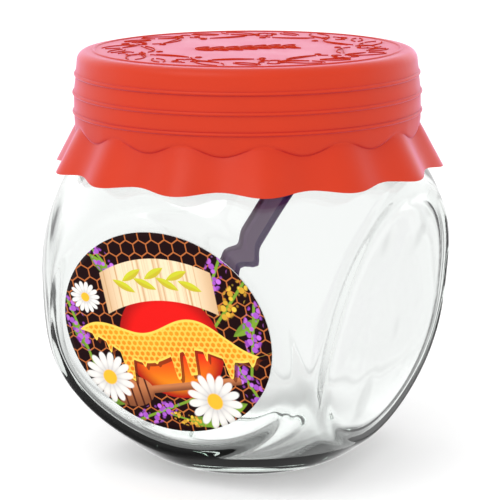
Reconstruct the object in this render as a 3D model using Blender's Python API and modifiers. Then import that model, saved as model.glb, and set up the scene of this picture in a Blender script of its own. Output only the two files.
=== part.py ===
"""Glass jar with a round label, a moulded lid and a plastic spoon inside.

The jar is a glass globe pulled in to four flat round panels, with a round
neck and an open mouth. The lid is one hollow plastic moulding in the form of
a cloth cover: a flat top, a ringed wall and a skirt that flares out in waves.
Lengths are in metres and +Z is up. The jar stands on z = 0, on its own axis.
Directions round the axis are angles from -Y towards +X.
"""

from math import acos, atan2, cos, exp, hypot, pi, radians, sin, sqrt

import bmesh
import bpy
from mathutils import Vector

MM = 0.001
COLLECTION_NAME = "glass_jar_with_spoon"

# Globe of the jar, round above its centre and running in to a cone below it
GLOBE_RADIUS = 56.9 * MM
GLOBE_CENTRE_Z = 51.8 * MM
LOWER_FALL = 55.8 * MM
LOWER_POWER = 3.44
GLASS_WALL = 3.0 * MM
INNER_LOWER_FALL = 51.9 * MM
FLOOR_Z = 5.6 * MM
FLOOR_RADIUS = 17.5 * MM
FLOOR_CURVE_Z = 10.5 * MM

# Flat round panels, one on each side of the globe
PANEL_DISTANCE = 45.0 * MM
PANEL_LEAN = radians(10.5)
PANEL_ANGLES = (0.0, pi / 2, pi, 3 * pi / 2)
FACING_LIMIT = 0.2
OUTER_RIDGE = 2.6 * MM
INNER_RIDGE = 7.0 * MM

# Foot, neck and mouth
FOOT_OUTER = 21.0 * MM
FOOT_INNER = 17.2 * MM
HEEL_Z = 5.0 * MM
HEEL_CORNER_RADIUS = 26.4 * MM
PUNT_RADIUS = 14.5 * MM
PUNT_HEIGHT = 1.0 * MM
NECK_OUTER = 41.5 * MM
NECK_INNER = 38.5 * MM
NECK_FILLET = 2.2 * MM
FILLET_MIDDLE = (0.66 * MM, 2.42 * MM)
FILLET_RISE = 5.28 * MM
RIM_Z = 111.5 * MM

# Lid
LID_TOP_Z = 113.2 * MM
LID_TOP_RADIUS = 46.0 * MM
LID_EDGE_ROUNDING = 2.6 * MM
LID_WALL_RADIUS = 47.0 * MM
LID_THICKNESS = 1.3 * MM
LID_INNER_CORNER = (1.3 * MM, 1.0 * MM)
LID_INNER_TAPER = 0.3 * MM
LID_INNER_FOOT = 3.0 * MM
BORDER_RADIUS = 41.5 * MM
BORDER_WIDTH = 0.8 * MM
BORDER_HEIGHT = 0.35 * MM
RING_HEIGHTS = (107.1 * MM, 102.1 * MM, 97.0 * MM)
RING_HALF_HEIGHT = 0.45 * MM
RING_BASE_HALF_HEIGHT = 0.72 * MM
RING_STAND = 0.45 * MM
CREASE_Z = 92.4 * MM
CREASE_RADIUS = 46.7 * MM
HEM_Z = 82.5 * MM
HEM_RADIUS = 51.9 * MM

# Waves of the skirt
WAVES = 14
WAVE_START = radians(34.0)
CREASE_LIFT = 1.3 * MM
CREASE_SWELL = 0.2 * MM
HEM_DROP = 0.5 * MM
HEM_SWELL = 1.4 * MM
SKIRT_SHARES = (0.0, 0.3, 0.65, 1.0)

# Label on the panel that faces -Y
LABEL_HALF_WIDTH = 30.8 * MM
LABEL_HALF_HEIGHT = 28.0 * MM
LABEL_TURN = radians(6.5)
LABEL_SHIFT_X = 0.3 * MM
LABEL_SHIFT_UP = 0.5 * MM
LABEL_THICKNESS = 0.25 * MM
GAP = 0.3 * MM

# Spoon, in the upright plane through the axis that holds the +X +Y diagonal
SPOON_TIP = (-31.0 * MM, 15.0 * MM)
SPOON_END = (31.5 * MM, 105.2 * MM)
BOWL_LENGTH = 38.0 * MM
BOWL_HALF_WIDTH = 11.5 * MM
BOWL_DEPTH = 5.0 * MM
BOWL_TIP_HALF_WIDTH = 2.4 * MM
BOWL_EGG_POWER = 0.9
HANDLE_HALF_WIDTH_NECK = 2.9 * MM
HANDLE_HALF_WIDTH_END = 3.9 * MM
HANDLE_ROUNDING = 0.035
SPOON_THICKNESS = 1.7 * MM

# Fineness of the faceted solids
JAR_SEGMENTS = 72
LID_SEGMENTS = WAVES * 6
LABEL_SEGMENTS = 40
SPOON_ROWS = 26
SPOON_COLUMNS = 6
SPOON_ROW_POWER = 1.25
LABEL_SHARES = (0.0, 0.35, 0.65, 0.85, 1.0)
SMOOTH_BELOW = radians(40)


def clear_scene():
    for item in list(bpy.data.objects):
        bpy.data.objects.remove(item, do_unlink=True)


def arc(start, end, steps):
    """Evenly spaced angles from start to end, both included."""
    return [start + (end - start) * i / steps for i in range(steps + 1)]


def soft_minimum(a, b, width):
    """The smaller of two lengths, rounded off where they are nearly equal."""
    nearness = max(width - abs(a - b), 0.0) / width
    return min(a, b) - nearness * nearness * width / 4


def pulled_in(radius, height, angle, distance, rounding):
    """Radius of the globe at a height and angle after the panels pull it in."""
    rise = (height - GLOBE_CENTRE_Z) * sin(PANEL_LEAN)
    for panel in PANEL_ANGLES:
        facing = cos(angle - panel)
        if facing > FACING_LIMIT:
            flat = (distance + rise) / (cos(PANEL_LEAN) * facing)
            radius = soft_minimum(radius, flat, rounding)
    return radius


def lower_radius(drop, radius, fall):
    """Radius of the globe's lower half at a depth below its centre."""
    return radius * exp(-((drop / fall) ** LOWER_POWER))


def globe_radius(height):
    """Outer radius of the round globe, before the panels, at a height."""
    offset = height - GLOBE_CENTRE_Z
    if offset < 0:
        return lower_radius(-offset, GLOBE_RADIUS, LOWER_FALL)
    return sqrt(max(GLOBE_RADIUS ** 2 - offset ** 2, 0.0))


def curve_between(start, corner, end, steps):
    """Points of a smooth curve that leaves start and meets end along the corner's two sides."""
    points = []
    for i in range(1, steps + 1):
        t = i / steps
        points.append(tuple((1 - t) ** 2 * a + 2 * t * (1 - t) * b + t * t * c
                            for a, b, c in zip(start, corner, end)))
    return points


def outer_profile():
    """Outside of the glass, from the middle of the bottom up to the neck."""
    points = [(0.0, PUNT_HEIGHT), (PUNT_RADIUS, PUNT_HEIGHT), (FOOT_INNER, 0.0), (FOOT_OUTER, 0.0)]
    heel_end = (lower_radius(GLOBE_CENTRE_Z - HEEL_Z, GLOBE_RADIUS, LOWER_FALL), HEEL_Z)
    points += curve_between((FOOT_OUTER, 0.0), (HEEL_CORNER_RADIUS, 0.0), heel_end, 3)
    for turn in arc(0.0, pi / 2, 9)[1:]:
        drop = (GLOBE_CENTRE_Z - HEEL_Z) * cos(turn)
        points.append((lower_radius(drop, GLOBE_RADIUS, LOWER_FALL), GLOBE_CENTRE_Z - drop))
    highest = acos((NECK_OUTER + NECK_FILLET) / GLOBE_RADIUS)
    for turn in arc(0.0, highest, 8)[1:]:
        points.append((GLOBE_RADIUS * cos(turn), GLOBE_CENTRE_Z + GLOBE_RADIUS * sin(turn)))
    shoulder_z = points[-1][1]
    points.append((NECK_OUTER + FILLET_MIDDLE[0], shoulder_z + FILLET_MIDDLE[1]))
    points.append((NECK_OUTER, shoulder_z + FILLET_RISE))
    return points


def rim_profile():
    """Rounded rim of the mouth, from outside to inside."""
    middle = (NECK_OUTER + NECK_INNER) / 2
    half = (NECK_OUTER - NECK_INNER) / 2
    return [(middle + half * cos(turn), RIM_Z - half + half * sin(turn)) for turn in arc(0.0, pi, 6)]


def inner_profile():
    """Inside of the glass, from the neck down to the middle of the floor."""
    radius = GLOBE_RADIUS - GLASS_WALL
    highest = acos((NECK_INNER + NECK_FILLET) / radius)
    shoulder_z = GLOBE_CENTRE_Z + radius * sin(highest)
    points = [(NECK_INNER, shoulder_z + FILLET_RISE)]
    points.append((NECK_INNER + FILLET_MIDDLE[0], shoulder_z + FILLET_MIDDLE[1]))
    for turn in arc(highest, 0.0, 7):
        points.append((radius * cos(turn), GLOBE_CENTRE_Z + radius * sin(turn)))
    for turn in arc(pi / 2, 0.0, 8)[1:]:
        drop = (GLOBE_CENTRE_Z - FLOOR_CURVE_Z) * cos(turn)
        points.append((lower_radius(drop, radius, INNER_LOWER_FALL), GLOBE_CENTRE_Z - drop))
    corner = ((points[-1][0] + FLOOR_RADIUS) / 2, FLOOR_Z)
    points += curve_between(points[-1], corner, (FLOOR_RADIUS, FLOOR_Z), 3)
    points.append((0.0, FLOOR_Z))
    return points


def turned_mesh(points, segments):
    """Spin a profile of (radius, height) points once round the Z axis."""
    mesh = bmesh.new()
    verts = [mesh.verts.new((radius, 0.0, height)) for radius, height in points]
    edges = [mesh.edges.new(pair) for pair in zip(verts, verts[1:])]
    bmesh.ops.spin(
        mesh, geom=verts + edges, cent=(0, 0, 0), axis=(0, 0, 1), dvec=(0, 0, 0),
        angle=2 * pi, steps=segments, use_merge=True, use_duplicate=False,
    )
    bmesh.ops.remove_doubles(mesh, verts=mesh.verts, dist=0.001 * MM)
    bmesh.ops.recalc_face_normals(mesh, faces=mesh.faces)
    return mesh


def polar(position):
    """Angle from -Y towards +X, and distance from the axis."""
    return atan2(position.x, -position.y), hypot(position.x, position.y)


def place(vert, angle, radius, height):
    vert.co = Vector((radius * sin(angle), -radius * cos(angle), height))


def add_object(name, mesh, material, collection):
    """Store a bmesh as an object of its own with its material."""
    data = bpy.data.meshes.new(name)
    mesh.to_mesh(data)
    mesh.free()
    data.shade_smooth()
    data.set_sharp_from_angle(angle=SMOOTH_BELOW)
    data.materials.append(material)
    item = bpy.data.objects.new(name, data)
    collection.objects.link(item)
    return item


def make_material(name, color, roughness, transmission=0.0):
    material = bpy.data.materials.new(name)
    material.use_nodes = True
    shader = material.node_tree.nodes["Principled BSDF"]
    shader.inputs["Base Color"].default_value = (*color, 1.0)
    shader.inputs["Roughness"].default_value = roughness
    shader.inputs["Metallic"].default_value = 0.0
    shader.inputs["Transmission Weight"].default_value = transmission
    return material


def add_thickness(item, thickness, offset):
    shell = item.modifiers.new("thickness", "SOLIDIFY")
    shell.thickness = thickness
    shell.offset = offset
    shell.use_even_offset = True


def make_jar(collection):
    """Glass shell with an open mouth, its outside and inside pulled in alike."""
    mesh = turned_mesh(outer_profile() + rim_profile() + inner_profile(), JAR_SEGMENTS)
    for vert in mesh.verts:
        angle, radius = polar(vert.co)
        height = vert.co.z
        if radius > globe_radius(height) - GLASS_WALL / 2:
            radius = pulled_in(radius, height, angle, PANEL_DISTANCE, OUTER_RIDGE)
        elif radius > FLOOR_RADIUS:
            radius = pulled_in(radius, height, angle, PANEL_DISTANCE - GLASS_WALL, INNER_RIDGE)
        place(vert, angle, radius, height)
    glass = make_material("clear_glass", (0.93, 0.97, 0.95), 0.02, transmission=1.0)
    return add_object("glass_jar", mesh, glass, collection)


def lid_outer_profile():
    """Outside of the lid from the middle of its top down to the crease."""
    points = [(0.0, LID_TOP_Z), (BORDER_RADIUS / 2, LID_TOP_Z)]
    half = BORDER_WIDTH / 2
    points.append((BORDER_RADIUS - half, LID_TOP_Z))
    points.append((BORDER_RADIUS, LID_TOP_Z + BORDER_HEIGHT))
    points.append((BORDER_RADIUS + half, LID_TOP_Z))
    middle = LID_TOP_RADIUS - LID_EDGE_ROUNDING
    for turn in arc(pi / 2, 0.0, 3):
        points.append((middle + LID_EDGE_ROUNDING * cos(turn),
                       LID_TOP_Z + LID_EDGE_ROUNDING * (sin(turn) - 1)))
    for ring_z in RING_HEIGHTS:
        wall = wall_radius(ring_z)
        points.append((wall, ring_z + RING_BASE_HALF_HEIGHT))
        points.append((wall + RING_STAND, ring_z + RING_HALF_HEIGHT))
        points.append((wall + RING_STAND, ring_z - RING_HALF_HEIGHT))
        points.append((wall, ring_z - RING_BASE_HALF_HEIGHT))
    return points


def wall_radius(height):
    """Radius of the lid's wall, which widens slightly towards the skirt."""
    top = LID_TOP_Z - LID_EDGE_ROUNDING
    share = (top - height) / (top - CREASE_Z)
    return LID_TOP_RADIUS + (LID_WALL_RADIUS - LID_TOP_RADIUS) * min(1.0, 2.0 * share)


def skirt_point(share, angle):
    """Radius and height of the skirt, from the crease (0) to the hem (1)."""
    wave = cos(WAVES * (angle - WAVE_START))
    radius = CREASE_RADIUS + (HEM_RADIUS - CREASE_RADIUS) * share
    height = CREASE_Z + (HEM_Z - CREASE_Z) * share
    radius += (CREASE_SWELL + (HEM_SWELL - CREASE_SWELL) * share) * wave
    height += (CREASE_LIFT * (1 - share) - HEM_DROP * share) * wave
    return radius, height


def make_lid(collection):
    """One closed moulding: top, ringed wall and skirt, with the hollow under it.

    Rows of the skirt are first spun as plain circles at negative heights that
    number them, and are then placed on the wave.
    """
    shares = SKIRT_SHARES
    outer = lid_outer_profile()
    skirt_rows = [(HEM_RADIUS, -1.0 - row) for row in range(2 * len(shares))]
    inner_top = LID_TOP_Z - LID_THICKNESS
    inner_radius = LID_TOP_RADIUS - LID_THICKNESS
    inner = [(inner_radius, CREASE_Z + LID_INNER_FOOT),
             (inner_radius - LID_INNER_TAPER, inner_top - LID_INNER_CORNER[1]),
             (inner_radius - LID_INNER_CORNER[0], inner_top),
             (inner_radius / 2, inner_top),
             (0.0, inner_top)]
    mesh = turned_mesh(outer + skirt_rows + inner, LID_SEGMENTS)
    lean = hypot(HEM_RADIUS - CREASE_RADIUS, CREASE_Z - HEM_Z)
    inward = LID_THICKNESS * (CREASE_Z - HEM_Z) / lean
    upward = LID_THICKNESS * (HEM_RADIUS - CREASE_RADIUS) / lean
    for vert in mesh.verts:
        if vert.co.z > -0.5:
            continue
        row = round(-1.0 - vert.co.z)
        angle, _ = polar(vert.co)
        if row < len(shares):
            radius, height = skirt_point(shares[row], angle)
        else:
            radius, height = skirt_point(shares[2 * len(shares) - 1 - row], angle)
            radius -= inward
            height -= upward if row > len(shares) else 0.0
        place(vert, angle, radius, height)
    bmesh.ops.recalc_face_normals(mesh, faces=mesh.faces)
    plastic = make_material("red_plastic", (0.66, 0.045, 0.02), 0.3)
    return add_object("lid", mesh, plastic, collection)


def make_label(collection):
    """Thin oval sticker that follows the front panel's face."""
    mesh = turned_mesh([(share, 0.0) for share in LABEL_SHARES], LABEL_SEGMENTS)
    up = Vector((0.0, -sin(PANEL_LEAN), cos(PANEL_LEAN)))
    outward = Vector((0.0, -cos(PANEL_LEAN), -sin(PANEL_LEAN)))
    centre = Vector((0.0, 0.0, GLOBE_CENTRE_Z)) + outward * PANEL_DISTANCE
    for vert in mesh.verts:
        across = vert.co.x * LABEL_HALF_WIDTH
        along = vert.co.y * LABEL_HALF_HEIGHT
        x = across * cos(LABEL_TURN) - along * sin(LABEL_TURN) + LABEL_SHIFT_X
        rise = across * sin(LABEL_TURN) + along * cos(LABEL_TURN) + LABEL_SHIFT_UP
        on_plane = centre + Vector((x, 0.0, 0.0)) + up * rise
        angle, radius = polar(on_plane)
        surface = pulled_in(globe_radius(on_plane.z), on_plane.z, angle, PANEL_DISTANCE, OUTER_RIDGE)
        place(vert, angle, min(radius, surface) + GAP, on_plane.z)
    bmesh.ops.recalc_face_normals(mesh, faces=mesh.faces)
    facing = sum(face.normal.y for face in mesh.faces)
    if facing > 0:
        bmesh.ops.reverse_faces(mesh, faces=mesh.faces)
    paper = make_material("printed_film", (0.35, 0.13, 0.05), 0.35)
    item = add_object("label", mesh, paper, collection)
    add_thickness(item, LABEL_THICKNESS, 1.0)
    return item


def spoon_half_width(distance):
    """Half width of the spoon at a distance from the tip of its bowl."""
    handle_length = spoon_length() - BOWL_LENGTH
    along = (distance - BOWL_LENGTH) / handle_length
    handle = HANDLE_HALF_WIDTH_NECK
    handle += (HANDLE_HALF_WIDTH_END - HANDLE_HALF_WIDTH_NECK) * max(along, 0.0)
    egg = min(distance / BOWL_LENGTH, 1.0)
    bowl = BOWL_HALF_WIDTH * sqrt(max(1.0 - (2.0 * egg ** BOWL_EGG_POWER - 1.0) ** 2, 0.0))
    past_rounding = max((along - 1.0) / HANDLE_ROUNDING + 1.0, 0.0)
    rounded_end = sqrt(max(1.0 - past_rounding ** 2, 0.2))
    if distance < BOWL_LENGTH / 2:
        return max(bowl, BOWL_TIP_HALF_WIDTH)
    return max(bowl, handle) * rounded_end


def spoon_length():
    return hypot(SPOON_END[0] - SPOON_TIP[0], SPOON_END[1] - SPOON_TIP[1])


def make_spoon(collection):
    """Flat handle and dished bowl, as one sheet given a thickness."""
    mesh = bmesh.new()
    bmesh.ops.create_grid(mesh, x_segments=SPOON_COLUMNS, y_segments=SPOON_ROWS, size=1.0)
    diagonal = Vector((sqrt(0.5), sqrt(0.5), 0.0))
    facing = Vector((sqrt(0.5), -sqrt(0.5), 0.0))
    tip = diagonal * SPOON_TIP[0] + Vector((0, 0, SPOON_TIP[1]))
    end = diagonal * SPOON_END[0] + Vector((0, 0, SPOON_END[1]))
    along = (end - tip).normalized()
    across = facing.cross(along).normalized()
    for vert in mesh.verts:
        share = (vert.co.y + 1.0) / 2.0
        distance = spoon_length() * share ** SPOON_ROW_POWER
        side = vert.co.x * spoon_half_width(distance)
        dish = max(1.0 - (2.0 * distance / BOWL_LENGTH - 1.0) ** 2, 0.0) if distance < BOWL_LENGTH else 0.0
        depth = BOWL_DEPTH * dish * (1.0 - vert.co.x ** 2)
        vert.co = tip + along * distance + across * side - facing * depth
    bmesh.ops.recalc_face_normals(mesh, faces=mesh.faces)
    plastic = make_material("violet_plastic", (0.2, 0.07, 0.23), 0.35)
    item = add_object("spoon", mesh, plastic, collection)
    add_thickness(item, SPOON_THICKNESS, 0.0)
    return item


def main():
    clear_scene()
    collection = bpy.data.collections.new(COLLECTION_NAME)
    bpy.context.scene.collection.children.link(collection)
    make_jar(collection)
    make_lid(collection)
    make_label(collection)
    make_spoon(collection)


main()
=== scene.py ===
# %% [markdown]
# # A glass jar with a cloth-look lid, a printed label and a spoon
#
# This lesson dresses a measured model of a storage jar. The real thing is a
# pressed glass globe with four flat round panels, closed by a red plastic lid
# that is moulded to look like a frilled cloth cover. A plastic spoon is shut
# inside it. The measured solids come first, and every finished piece is built
# where its solid stands.

# %% Load the measured frame
from math import acos, atan2, cos, exp, hypot, pi, radians, sin, sqrt

import bmesh
import bpy
from mathutils import Matrix, Vector, noise


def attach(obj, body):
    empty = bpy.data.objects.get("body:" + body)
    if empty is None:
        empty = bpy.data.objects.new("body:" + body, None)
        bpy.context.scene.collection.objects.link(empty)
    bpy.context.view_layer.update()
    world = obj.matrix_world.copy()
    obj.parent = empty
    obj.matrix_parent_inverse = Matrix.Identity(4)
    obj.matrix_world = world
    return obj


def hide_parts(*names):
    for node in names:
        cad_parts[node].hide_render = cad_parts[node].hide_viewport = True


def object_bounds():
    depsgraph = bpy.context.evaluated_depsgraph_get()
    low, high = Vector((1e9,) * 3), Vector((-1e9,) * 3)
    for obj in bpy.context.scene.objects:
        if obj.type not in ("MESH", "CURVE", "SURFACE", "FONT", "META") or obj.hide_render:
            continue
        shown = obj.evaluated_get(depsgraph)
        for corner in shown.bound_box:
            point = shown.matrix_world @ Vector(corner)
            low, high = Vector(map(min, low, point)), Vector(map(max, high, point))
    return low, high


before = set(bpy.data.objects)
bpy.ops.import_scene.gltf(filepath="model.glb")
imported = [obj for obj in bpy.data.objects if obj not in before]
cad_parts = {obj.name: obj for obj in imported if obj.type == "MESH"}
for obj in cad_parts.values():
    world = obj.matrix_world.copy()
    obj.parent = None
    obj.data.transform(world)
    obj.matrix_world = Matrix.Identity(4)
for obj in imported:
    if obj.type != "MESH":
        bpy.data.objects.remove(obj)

MM = 0.001
solid_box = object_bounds()
print("measured solids fill", solid_box)

# %% [markdown]
# ## The camera
#
# The photograph was taken from a little above, with the label turned to the
# left. Its three lid rings and the outline of the glass give the distance, the
# height and the lens: a long lens from about half a metre.

# %% Place the camera
CAMERA_AZIMUTH = radians(28.9)
CAMERA_DISTANCE = 520.0 * MM
CAMERA_HEIGHT = 173.3 * MM
CAMERA_SIDE = 0.5 * MM
CAMERA_PITCH = radians(12.58)
CAMERA_ROLL = radians(0.3)
PHOTO_WIDTH_PX = 500
FOCAL_PX = 1925.7
SENSOR_WIDTH_MM = 36.0


def polar_point(angle, radius, height):
    """A point given by its angle from -Y towards +X, its radius and height."""
    return Vector((radius * sin(angle), -radius * cos(angle), height))


camera_data = bpy.data.cameras.new("photo_camera")
camera_data.sensor_width = SENSOR_WIDTH_MM
camera_data.lens = FOCAL_PX / PHOTO_WIDTH_PX * SENSOR_WIDTH_MM
camera_data.clip_start = 0.01
camera = bpy.data.objects.new("photo_camera", camera_data)
bpy.context.scene.collection.objects.link(camera)
right_hand = Vector((cos(CAMERA_AZIMUTH), sin(CAMERA_AZIMUTH), 0.0))
camera.location = polar_point(CAMERA_AZIMUTH, CAMERA_DISTANCE, CAMERA_HEIGHT) + right_hand * CAMERA_SIDE
turn_down = Matrix.Rotation(pi / 2 - CAMERA_PITCH, 4, "X")
camera.rotation_euler = (
    Matrix.Rotation(CAMERA_AZIMUTH, 4, "Z") @ turn_down @ Matrix.Rotation(-CAMERA_ROLL, 4, "Z")
).to_euler()
bpy.context.scene.camera = camera
print("camera stands at", [round(value, 3) for value in camera.location])

# %% [markdown]
# ## Turning and pulling in
#
# Jar, lid and label all start as a profile spun round the axis. A spun shape is
# round, so its points are moved afterwards: the globe is pulled in to its flat
# panels, and the skirt of the lid is pushed into waves. A rounded minimum
# keeps the ridge between globe and panel soft, as molten glass leaves it.

# %% Helpers for turned shapes
def arc(start, end, steps):
    """Evenly spaced angles from start to end, both included."""
    return [start + (end - start) * i / steps for i in range(steps + 1)]


def line(start, end, steps):
    """Evenly spaced points of a straight run, without its first point."""
    return [tuple(a + (b - a) * i / steps for a, b in zip(start, end)) for i in range(1, steps + 1)]


def curve_between(start, corner, end, steps):
    """Points of a smooth curve that leaves start and meets end along the corner's two sides."""
    points = []
    for i in range(1, steps + 1):
        t = i / steps
        points.append(tuple((1 - t) ** 2 * a + 2 * t * (1 - t) * b + t * t * c
                            for a, b, c in zip(start, corner, end)))
    return points


def soft_minimum(a, b, width):
    """The smaller of two lengths, rounded off where they are nearly equal."""
    nearness = max(width - abs(a - b), 0.0) / width
    return min(a, b) - nearness * nearness * width / 4


def spin_profile(points, segments):
    """Spin (radius, height) points once round the axis into a closed bmesh."""
    mesh = bmesh.new()
    verts = [mesh.verts.new((radius, 0.0, height)) for radius, height in points]
    edges = [mesh.edges.new(pair) for pair in zip(verts, verts[1:])]
    bmesh.ops.spin(
        mesh, geom=verts + edges, cent=(0, 0, 0), axis=(0, 0, 1), dvec=(0, 0, 0),
        angle=2 * pi, steps=segments, use_merge=True, use_duplicate=False,
    )
    bmesh.ops.remove_doubles(mesh, verts=mesh.verts, dist=0.001 * MM)
    bmesh.ops.recalc_face_normals(mesh, faces=mesh.faces)
    return mesh


def polar(position):
    """Angle from -Y towards +X, and distance from the axis."""
    return atan2(position.x, -position.y), hypot(position.x, position.y)


def finish_piece(name, mesh, node, sharp=40.0):
    """Store a bmesh as a piece that rides with the jar and stands for a solid."""
    data = bpy.data.meshes.new(name)
    mesh.to_mesh(data)
    mesh.free()
    data.shade_smooth()
    data.set_sharp_from_angle(angle=radians(sharp))
    piece = bpy.data.objects.new(name, data)
    bpy.context.scene.collection.objects.link(piece)
    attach(piece, "root")
    if node:
        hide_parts(node)
    print(name, "has", len(data.polygons), "faces")
    return piece


# %% [markdown]
# ## The glass jar
#
# The wall is about 3 mm thick and the bottom twice that. The ridges are
# sharper outside, where the mould shaped them, than inside, where air did. The
# inside also keeps slow ripples, and those bend what is seen through the glass.

# %% Measure the jar
GLOBE_RADIUS = 56.9 * MM
GLOBE_CENTRE_Z = 51.8 * MM
LOWER_FALL = 55.8 * MM
LOWER_POWER = 3.44
GLASS_WALL = 3.0 * MM
INNER_LOWER_FALL = 51.9 * MM
FLOOR_Z = 5.6 * MM
FLOOR_RADIUS = 17.5 * MM
FLOOR_CURVE_Z = 10.5 * MM
PANEL_DISTANCE = 45.0 * MM
PANEL_LEAN = radians(10.5)
PANEL_ANGLES = (0.0, pi / 2, pi, 3 * pi / 2)
FACING_LIMIT = 0.2
OUTER_RIDGE = 1.3 * MM
INNER_RIDGE = 3.0 * MM
FOOT_OUTER = 21.0 * MM
FOOT_INNER = 17.2 * MM
HEEL_Z = 5.0 * MM
HEEL_CORNER_RADIUS = 26.4 * MM
PUNT_RADIUS = 14.5 * MM
PUNT_HEIGHT = 1.0 * MM
NECK_OUTER = 41.5 * MM
NECK_INNER = 38.5 * MM
NECK_FILLET = 2.2 * MM
FILLET_RISE = 5.28 * MM
FILLET_POWER = 1.15
RIM_Z = 111.5 * MM
RIPPLE = 0.2 * MM
RIPPLE_LENGTH = 17.0 * MM
print("the globe is", round(2 * GLOBE_RADIUS / MM, 1), "mm across its corners")

# %% Outline the glass
JAR_SEGMENTS = 320
OUTER_LOWER_ROWS = 60
OUTER_UPPER_ROWS = 50
INNER_LOWER_ROWS = 56
INNER_UPPER_ROWS = 46
ROUNDING_ROWS = 12
FLOOR_ROWS = 8
FLOOR_CURVE_ROWS = 10
SMALL_CURVE_ROWS = 6


def lower_radius(drop, radius, fall):
    """Radius of the globe's lower half at a depth below its centre."""
    return radius * exp(-((drop / fall) ** LOWER_POWER))


def globe_radius(height):
    """Outer radius of the round globe, before the panels, at a height."""
    offset = height - GLOBE_CENTRE_Z
    if offset < 0:
        return lower_radius(-offset, GLOBE_RADIUS, LOWER_FALL)
    return sqrt(max(GLOBE_RADIUS ** 2 - offset ** 2, 0.0))


def pulled_in(radius, height, angle, distance, rounding):
    """Radius of the globe at a height and angle after the panels pull it in."""
    rise = (height - GLOBE_CENTRE_Z) * sin(PANEL_LEAN)
    for panel in PANEL_ANGLES:
        facing = cos(angle - panel)
        if facing > FACING_LIMIT:
            flat = (distance + rise) / (cos(PANEL_LEAN) * facing)
            radius = soft_minimum(radius, flat, rounding)
    return radius


def lower_glass(bottom, radius, fall, steps):
    """The lower half of the globe from a height up to its widest circle."""
    points = []
    for turn in arc(0.0, pi / 2, steps):
        drop = (GLOBE_CENTRE_Z - bottom) * cos(turn)
        points.append((lower_radius(drop, radius, fall), GLOBE_CENTRE_Z - drop))
    return points


def upper_glass(radius, neck, steps):
    """The upper half of the globe from its widest circle up into the neck."""
    highest = acos((neck + NECK_FILLET) / radius)
    turns = arc(0.0, highest, steps)
    points = [(radius * cos(turn), GLOBE_CENTRE_Z + radius * sin(turn)) for turn in turns]
    shoulder = points[-1]
    for share in arc(0.0, 1.0, SMALL_CURVE_ROWS)[1:]:
        points.append((neck + NECK_FILLET * (1 - share) ** 2,
                       shoulder[1] + FILLET_RISE * share ** FILLET_POWER))
    return points


def outer_glass():
    """Outside of the glass, from the middle of the bottom up to the neck."""
    middle = (0.0, PUNT_HEIGHT)
    points = [middle] + line(middle, (PUNT_RADIUS, PUNT_HEIGHT), SMALL_CURVE_ROWS)
    for share in arc(0.0, 1.0, SMALL_CURVE_ROWS)[1:]:
        ease = (1 + cos(pi * share)) / 2
        points.append((PUNT_RADIUS + (FOOT_INNER - PUNT_RADIUS) * share, PUNT_HEIGHT * ease))
    points.append((FOOT_OUTER, 0.0))
    globe = lower_glass(HEEL_Z, GLOBE_RADIUS, LOWER_FALL, OUTER_LOWER_ROWS)
    points += curve_between((FOOT_OUTER, 0.0), (HEEL_CORNER_RADIUS, 0.0), globe[0], ROUNDING_ROWS)
    return points + globe[1:] + upper_glass(GLOBE_RADIUS, NECK_OUTER, OUTER_UPPER_ROWS)[1:]


def rim_bead():
    """Rounded rim of the mouth, from outside to inside."""
    middle = (NECK_OUTER + NECK_INNER) / 2
    half = (NECK_OUTER - NECK_INNER) / 2
    turns = arc(0.0, pi, ROUNDING_ROWS)
    return [(middle + half * cos(turn), RIM_Z - half + half * sin(turn)) for turn in turns]


def inner_glass():
    """Inside of the glass, from the neck down to the middle of the floor."""
    radius = GLOBE_RADIUS - GLASS_WALL
    points = upper_glass(radius, NECK_INNER, INNER_UPPER_ROWS)[::-1]
    points += lower_glass(FLOOR_CURVE_Z, radius, INNER_LOWER_FALL, INNER_LOWER_ROWS)[::-1][1:]
    edge = points[-1]
    corner = ((edge[0] + FLOOR_RADIUS) / 2, FLOOR_Z)
    points += curve_between(edge, corner, (FLOOR_RADIUS, FLOOR_Z), FLOOR_CURVE_ROWS)
    return points + line((FLOOR_RADIUS, FLOOR_Z), (0.0, FLOOR_Z), FLOOR_ROWS)


glass_profile = outer_glass() + rim_bead() + inner_glass()
print("the outline of the glass has", len(glass_profile), "points")

# %% Spin the glass and press in its panels
glass_mesh = spin_profile(glass_profile, JAR_SEGMENTS)
for vert in glass_mesh.verts:
    angle, radius = polar(vert.co)
    height = vert.co.z
    if radius > globe_radius(height) - GLASS_WALL / 2:
        radius = pulled_in(radius, height, angle, PANEL_DISTANCE, OUTER_RIDGE)
    elif radius > FLOOR_RADIUS:
        radius = pulled_in(radius, height, angle, PANEL_DISTANCE - GLASS_WALL, INNER_RIDGE)
        radius += RIPPLE * noise.noise(vert.co / RIPPLE_LENGTH)
    vert.co = polar_point(angle, radius, height)
glass_jar = finish_piece("blown_glass", glass_mesh, "glass_jar")

# %% [markdown]
# ## The lid
#
# One thin moulding: a flat top with a soft edge, a wall with three fine raised
# rings, and a skirt that flares out in fourteen waves like gathered cloth. The
# wall ends in a small rounded lip over the start of the skirt. All of it is one
# outline spun round the axis, with formulas for where the waves carry it.

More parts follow.
